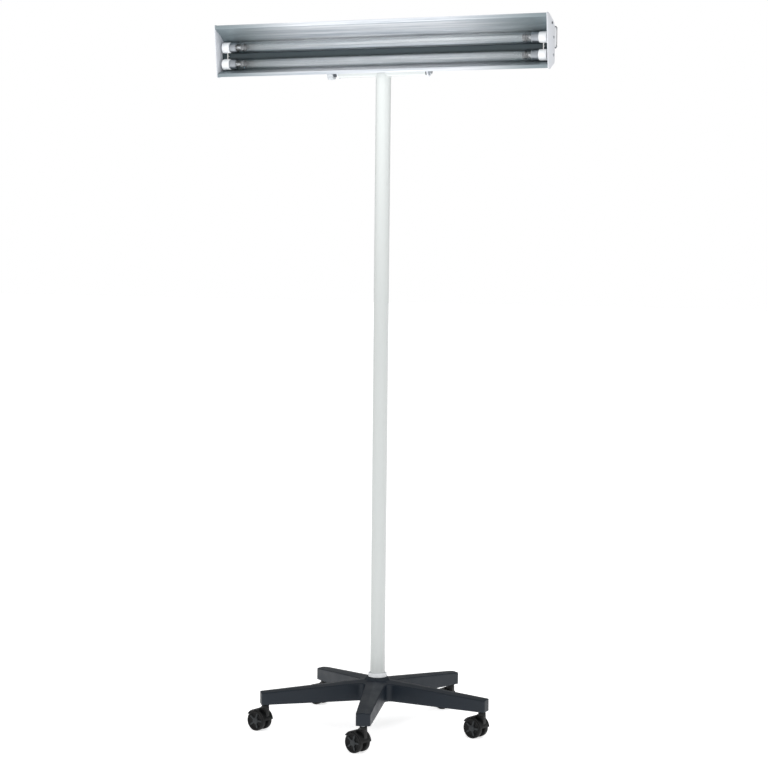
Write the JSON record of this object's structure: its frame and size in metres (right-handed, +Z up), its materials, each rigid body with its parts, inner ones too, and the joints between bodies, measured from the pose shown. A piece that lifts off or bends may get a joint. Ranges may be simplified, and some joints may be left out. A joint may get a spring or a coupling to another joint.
{
  "type": "examination lamp",
  "caption": "Mobile examination lamp: tilting tube-lamp reflector head on a slim column above a wheeled star base.",
  "frame": {"origin": "on the floor under the column axis", "axes": "+Z up along the column, +X along the lamp head and along one base arm, -Y the way the lamp faces"},
  "size_m": [0.9693, 0.6289, 1.893],
  "materials": {
    "base_nylon": "glass-filled nylon, satin",
    "castor_nylon": "moulded, fine grain",
    "castor_tread": "matte",
    "zinc_steel": "bright zinc plate",
    "white_enamel": "gloss powder coat",
    "mirror_aluminium": "polished and anodised",
    "dark_enamel": "satin",
    "white_polycarbonate": "moulded, satin",
    "lamp_glass": "clear",
    "cap_aluminium": "pressed, satin",
    "pin_brass": "bright",
    "grey_nylon": "moulded, satin",
    "friction_fibre": "matte",
    "wire_pvc": "smooth"
  },
  "bodies": {
    "base": {"star_base": "base_nylon", "hub_bush": "base_nylon", "hub_collar": "white_polycarbonate", "caster_stems": "zinc_steel"},
    "column": {"column": "white_enamel", "foot_plug": "zinc_steel", "foot_bolt": "zinc_steel", "cross_bar": "white_enamel", "bar_inserts": "zinc_steel", "pivot_bolt": "zinc_steel", "friction_washers": "friction_fibre"},
    "tilt_knob": {"tilt_knob": "grey_nylon", "knob_stud": "zinc_steel"},
    "head": {"reflector": "mirror_aluminium", "spine_strip": "dark_enamel", "cheek_left": "white_enamel", "cheek_right": "white_enamel", "back_housing": "white_enamel", "housing_cap_left": "white_polycarbonate", "housing_cap_right": "white_polycarbonate", "lug_left": "white_enamel", "lug_right": "white_enamel", "lug_screws": "zinc_steel", "cheek_screws": "zinc_steel", "housing_screws": "zinc_steel", "spacer_blocks": "zinc_steel", "ballast": "white_enamel", "terminal_block": "white_polycarbonate", "wire_loom": "wire_pvc", "lampholders": "white_polycarbonate", "switch_frame": "grey_nylon", "gland_body": "grey_nylon", "gland_nut": "grey_nylon"},
    "switch_rocker": {"switch_rocker": "grey_nylon"},
    "tube_lower": {"tube_glass_lower": "lamp_glass", "tube_caps_lower": "cap_aluminium", "tube_pins_lower": "pin_brass"},
    "tube_upper": {"tube_glass_upper": "lamp_glass", "tube_caps_upper": "cap_aluminium", "tube_pins_upper": "pin_brass"},
    "castor_1": {"caster_hood_1": "castor_nylon", "caster_axle_1": "zinc_steel"},
    "wheel_1a": {"caster_wheel_1a": "castor_tread"},
    "wheel_1b": {"caster_wheel_1b": "castor_tread"},
    "castor_2": {"caster_hood_2": "castor_nylon", "caster_axle_2": "zinc_steel"},
    "wheel_2a": {"caster_wheel_2a": "castor_tread"},
    "wheel_2b": {"caster_wheel_2b": "castor_tread"},
    "castor_3": {"caster_hood_3": "castor_nylon", "caster_axle_3": "zinc_steel"},
    "wheel_3a": {"caster_wheel_3a": "castor_tread"},
    "wheel_3b": {"caster_wheel_3b": "castor_tread"},
    "castor_4": {"caster_hood_4": "castor_nylon", "caster_axle_4": "zinc_steel"},
    "wheel_4a": {"caster_wheel_4a": "castor_tread"},
    "wheel_4b": {"caster_wheel_4b": "castor_tread"},
    "castor_5": {"caster_hood_5": "castor_nylon", "caster_axle_5": "zinc_steel"},
    "wheel_5a": {"caster_wheel_5a": "castor_tread"},
    "wheel_5b": {"caster_wheel_5b": "castor_tread"}
  },
  "joints": [
    {"name": "column_swivel", "type": "hinge", "parent": "base", "child": "column", "pos_m": [0, 0, 0.13], "axis": [0, 0, 1], "continuous": true},
    {"name": "head_tilt", "type": "hinge", "parent": "column", "child": "head", "pos_m": [0, 0, 1.756], "axis": [1, 0, 0], "range_deg": [-85, 50]},
    {"name": "tilt_knob_turn", "type": "hinge", "parent": "column", "child": "tilt_knob", "pos_m": [-0.15, 0, 1.756], "axis": [1, 0, 0], "range_deg": [0, 360]},
    {"name": "switch_rock", "type": "hinge", "parent": "head", "child": "switch_rocker", "pos_m": [-0.4705, 0.021, 1.847], "axis": [0, 1, 0], "range_deg": [0, 13]},
    {"name": "tube_lower_turn", "type": "hinge", "parent": "head", "child": "tube_lower", "pos_m": [0, -0.022, 1.7885], "axis": [1, 0, 0], "range_deg": [0, 90]},
    {"name": "tube_upper_turn", "type": "hinge", "parent": "head", "child": "tube_upper", "pos_m": [0, -0.022, 1.8335], "axis": [1, 0, 0], "range_deg": [0, 90]},
    {"name": "castor_1_swivel", "type": "hinge", "parent": "base", "child": "castor_1", "pos_m": [0.305, 0, 0.06], "axis": [0, 0, 1], "continuous": true},
    {"name": "wheel_1a_roll", "type": "hinge", "parent": "castor_1", "child": "wheel_1a", "pos_m": [0.28559, 0.00484, 0.027], "axis": [-0.2419, -0.9703, 0], "continuous": true},
    {"name": "wheel_1b_roll", "type": "hinge", "parent": "castor_1", "child": "wheel_1b", "pos_m": [0.28559, 0.00484, 0.027], "axis": [-0.2419, -0.9703, 0], "continuous": true},
    {"name": "castor_2_swivel", "type": "hinge", "parent": "base", "child": "castor_2", "pos_m": [0.09425, 0.29007, 0.06], "axis": [0, 0, 1], "continuous": true},
    {"name": "wheel_2a_roll", "type": "hinge", "parent": "castor_2", "child": "wheel_2a", "pos_m": [0.07444, 0.29286, 0.027], "axis": [-0.1392, -0.9903, 0], "continuous": true},
    {"name": "wheel_2b_roll", "type": "hinge", "parent": "castor_2", "child": "wheel_2b", "pos_m": [0.07444, 0.29286, 0.027], "axis": [-0.1392, -0.9903, 0], "continuous": true},
    {"name": "castor_3_swivel", "type": "hinge", "parent": "base", "child": "castor_3", "pos_m": [-0.24675, 0.17927, 0.06], "axis": [0, 0, 1], "continuous": true},
    {"name": "wheel_3a_roll", "type": "hinge", "parent": "castor_3", "child": "wheel_3a", "pos_m": [-0.26554, 0.18612, 0.027], "axis": [-0.342, -0.9397, 0], "continuous": true},
    {"name": "wheel_3b_roll", "type": "hinge", "parent": "castor_3", "child": "wheel_3b", "pos_m": [-0.26554, 0.18612, 0.027], "axis": [-0.342, -0.9397, 0], "continuous": true},
    {"name": "castor_4_swivel", "type": "hinge", "parent": "base", "child": "castor_4", "pos_m": [-0.24675, -0.17927, 0.06], "axis": [0, 0, 1], "continuous": true},
    {"name": "wheel_4a_roll", "type": "hinge", "parent": "castor_4", "child": "wheel_4a", "pos_m": [-0.26638, -0.17546, 0.027], "axis": [-0.1908, -0.9816, 0], "continuous": true},
    {"name": "wheel_4b_roll", "type": "hinge", "parent": "castor_4", "child": "wheel_4b", "pos_m": [-0.26638, -0.17546, 0.027], "axis": [-0.1908, -0.9816, 0], "continuous": true},
    {"name": "castor_5_swivel", "type": "hinge", "parent": "base", "child": "castor_5", "pos_m": [0.09425, -0.29007, 0.06], "axis": [0, 0, 1], "continuous": true},
    {"name": "wheel_5a_roll", "type": "hinge", "parent": "castor_5", "child": "wheel_5a", "pos_m": [0.07512, -0.28423, 0.027], "axis": [-0.2924, -0.9563, 0], "continuous": true},
    {"name": "wheel_5b_roll", "type": "hinge", "parent": "castor_5", "child": "wheel_5b", "pos_m": [0.07512, -0.28423, 0.027], "axis": [-0.2924, -0.9563, 0], "continuous": true}
  ]
}
